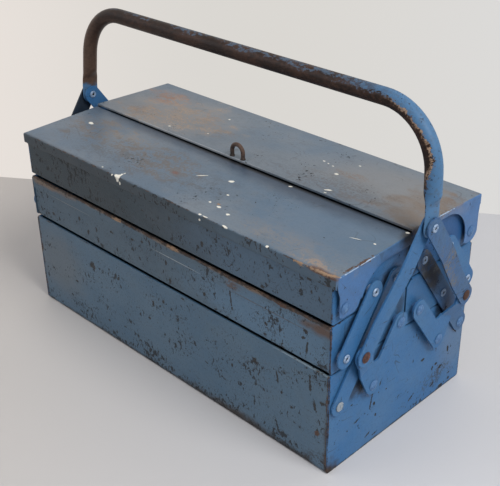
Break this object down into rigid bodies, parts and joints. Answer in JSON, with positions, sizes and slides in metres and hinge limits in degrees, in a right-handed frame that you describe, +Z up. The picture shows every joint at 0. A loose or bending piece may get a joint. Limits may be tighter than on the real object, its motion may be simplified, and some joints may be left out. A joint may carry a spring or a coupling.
{
  "type": "cantilever toolbox",
  "caption": "Folded steel toolbox with tiers of trays that swing out on strip links, hinged lids and a tube handle above.",
  "frame": {"origin": "middle of the underside, where the base stands", "axes": "+X along the box, -Y towards the front, +Z up"},
  "size_m": [0.481, 0.2044, 0.3244],
  "materials": {
    "base_paint": "worn hammered-blue enamel, chipped and rusting at the edges",
    "end_paint": "worn hammered-blue enamel, chipped and rusting at the edges",
    "lid_paint": "worn hammered-blue enamel, chipped and rusting at the edges",
    "link_paint": "worn hammered-blue enamel, chipped and rusting at the edges",
    "rivet_steel": "dull zinc",
    "rusty_steel": "rusted",
    "handle_paint": "paint worn through to brown steel"
  },
  "bodies": {
    "base": {"base_wrap": "base_paint", "base_end_left": "end_paint", "base_end_right": "end_paint", "base_rivets": "rivet_steel"},
    "front_mid_tray": {"front_mid_tray_wrap": "base_paint", "front_mid_tray_end_left": "end_paint", "front_mid_tray_end_right": "end_paint", "front_mid_tray_rivets": "rivet_steel"},
    "front_top_tray": {"front_top_tray_wrap": "base_paint", "front_top_tray_end_left": "end_paint", "front_top_tray_end_right": "end_paint", "front_top_tray_rivets": "rivet_steel"},
    "rear_mid_tray": {"rear_mid_tray_wrap": "base_paint", "rear_mid_tray_end_left": "end_paint", "rear_mid_tray_end_right": "end_paint", "rear_mid_tray_rivets": "rivet_steel"},
    "rear_top_tray": {"rear_top_tray_wrap": "base_paint", "rear_top_tray_end_left": "end_paint", "rear_top_tray_end_right": "end_paint", "rear_top_tray_rivets": "rivet_steel"},
    "front_lid": {"front_lid": "lid_paint"},
    "rear_lid": {"rear_lid": "lid_paint", "padlock_staple": "rusty_steel"},
    "front_long_links": {"front_long_link_left": "link_paint", "front_long_link_right": "link_paint"},
    "front_cranks": {"front_crank_left": "link_paint", "front_crank_right": "link_paint", "front_crank_rivets": "rusty_steel"},
    "front_short_links": {"front_short_link_left": "link_paint", "front_short_link_right": "link_paint"},
    "front_handle_links": {"front_handle_link_left": "link_paint", "front_handle_link_right": "link_paint", "front_handle_link_eyelets": "rivet_steel"},
    "rear_long_links": {"rear_long_link_left": "link_paint", "rear_long_link_right": "link_paint"},
    "rear_cranks": {"rear_crank_left": "link_paint", "rear_crank_right": "link_paint", "rear_crank_rivets": "rusty_steel"},
    "rear_short_links": {"rear_short_link_left": "link_paint", "rear_short_link_right": "link_paint"},
    "rear_handle_links": {"rear_handle_link_left": "link_paint", "rear_handle_link_right": "link_paint", "rear_handle_link_eyelets": "rivet_steel"},
    "handle_pins": {"handle_pins": "rivet_steel"},
    "handle": {"handle": "handle_paint"}
  },
  "joints": [
    {"name": "box_open", "type": "hinge", "parent": "base", "child": "front_long_links", "pos_m": [0, -0.0905, 0.0718], "axis": [1, 0, 0], "range_deg": [0, 70]},
    {"name": "front_mid_tray_level", "type": "hinge", "parent": "front_long_links", "child": "front_mid_tray", "pos_m": [0, -0.0555, 0.1213], "axis": [1, 0, 0], "range_deg": [-70, 0]},
    {"name": "front_top_tray_level", "type": "hinge", "parent": "front_long_links", "child": "front_top_tray", "pos_m": [0, -0.0205, 0.1708], "axis": [1, 0, 0], "range_deg": [-70, 0]},
    {"name": "front_crank_swing", "type": "hinge", "parent": "base", "child": "front_cranks", "pos_m": [0, -0.049, 0.074], "axis": [1, 0, 0], "range_deg": [0, 70]},
    {"name": "front_short_link_swing", "type": "hinge", "parent": "front_mid_tray", "child": "front_short_links", "pos_m": [0, -0.089, 0.1235], "axis": [1, 0, 0], "range_deg": [0, 70]},
    {"name": "front_handle_link_swing", "type": "hinge", "parent": "front_cranks", "child": "front_handle_links", "pos_m": [0, -0.0705, 0.1183], "axis": [1, 0, 0], "range_deg": [-92, 0]},
    {"name": "rear_long_link_swing", "type": "hinge", "parent": "base", "child": "rear_long_links", "pos_m": [0, 0.0905, 0.0718], "axis": [-1, 0, 0], "range_deg": [0, 70]},
    {"name": "rear_mid_tray_level", "type": "hinge", "parent": "rear_long_links", "child": "rear_mid_tray", "pos_m": [0, 0.0555, 0.1213], "axis": [-1, 0, 0], "range_deg": [-70, 0]},
    {"name": "rear_top_tray_level", "type": "hinge", "parent": "rear_long_links", "child": "rear_top_tray", "pos_m": [0, 0.0205, 0.1708], "axis": [-1, 0, 0], "range_deg": [-70, 0]},
    {"name": "rear_crank_swing", "type": "hinge", "parent": "base", "child": "rear_cranks", "pos_m": [0, 0.049, 0.074], "axis": [-1, 0, 0], "range_deg": [0, 70]},
    {"name": "rear_short_link_swing", "type": "hinge", "parent": "rear_mid_tray", "child": "rear_short_links", "pos_m": [0, 0.089, 0.1235], "axis": [-1, 0, 0], "range_deg": [0, 70]},
    {"name": "rear_handle_link_swing", "type": "hinge", "parent": "rear_cranks", "child": "rear_handle_links", "pos_m": [0, 0.0705, 0.1183], "axis": [-1, 0, 0], "range_deg": [-92, 0]},
    {"name": "handle_drop", "type": "slide", "parent": "base", "child": "handle_pins", "axis": [0, 0, 1], "range_m": [-0.0785, 0]},
    {"name": "handle_swing", "type": "hinge", "parent": "handle_pins", "child": "handle", "pos_m": [0, 0, 0.2183], "axis": [1, 0, 0], "range_deg": [-60, 60]},
    {"name": "front_lid_hinge", "type": "hinge", "parent": "front_top_tray", "child": "front_lid", "pos_m": [0, -0.09, 0.173], "axis": [1, 0, 0], "range_deg": [0, 110]},
    {"name": "rear_lid_hinge", "type": "hinge", "parent": "rear_top_tray", "child": "rear_lid", "pos_m": [0, 0.09, 0.173], "axis": [-1, 0, 0], "range_deg": [0, 110]}
  ],
  "couplings": [
    {"joint": "front_mid_tray_level", "follows": "box_open", "ratio": -1},
    {"joint": "front_top_tray_level", "follows": "box_open", "ratio": -1},
    {"joint": "front_crank_swing", "follows": "box_open", "ratio": 1},
    {"joint": "front_short_link_swing", "follows": "box_open", "ratio": 1},
    {"joint": "front_handle_link_swing", "follows": "box_open", "ratio": -1.31},
    {"joint": "rear_long_link_swing", "follows": "box_open", "ratio": 1},
    {"joint": "rear_mid_tray_level", "follows": "box_open", "ratio": -1},
    {"joint": "rear_top_tray_level", "follows": "box_open", "ratio": -1},
    {"joint": "rear_crank_swing", "follows": "box_open", "ratio": 1},
    {"joint": "rear_short_link_swing", "follows": "box_open", "ratio": 1},
    {"joint": "rear_handle_link_swing", "follows": "box_open", "ratio": -1.31},
    {"joint": "handle_drop", "follows": "box_open", "m_per_rad": -0.064}
  ]
}
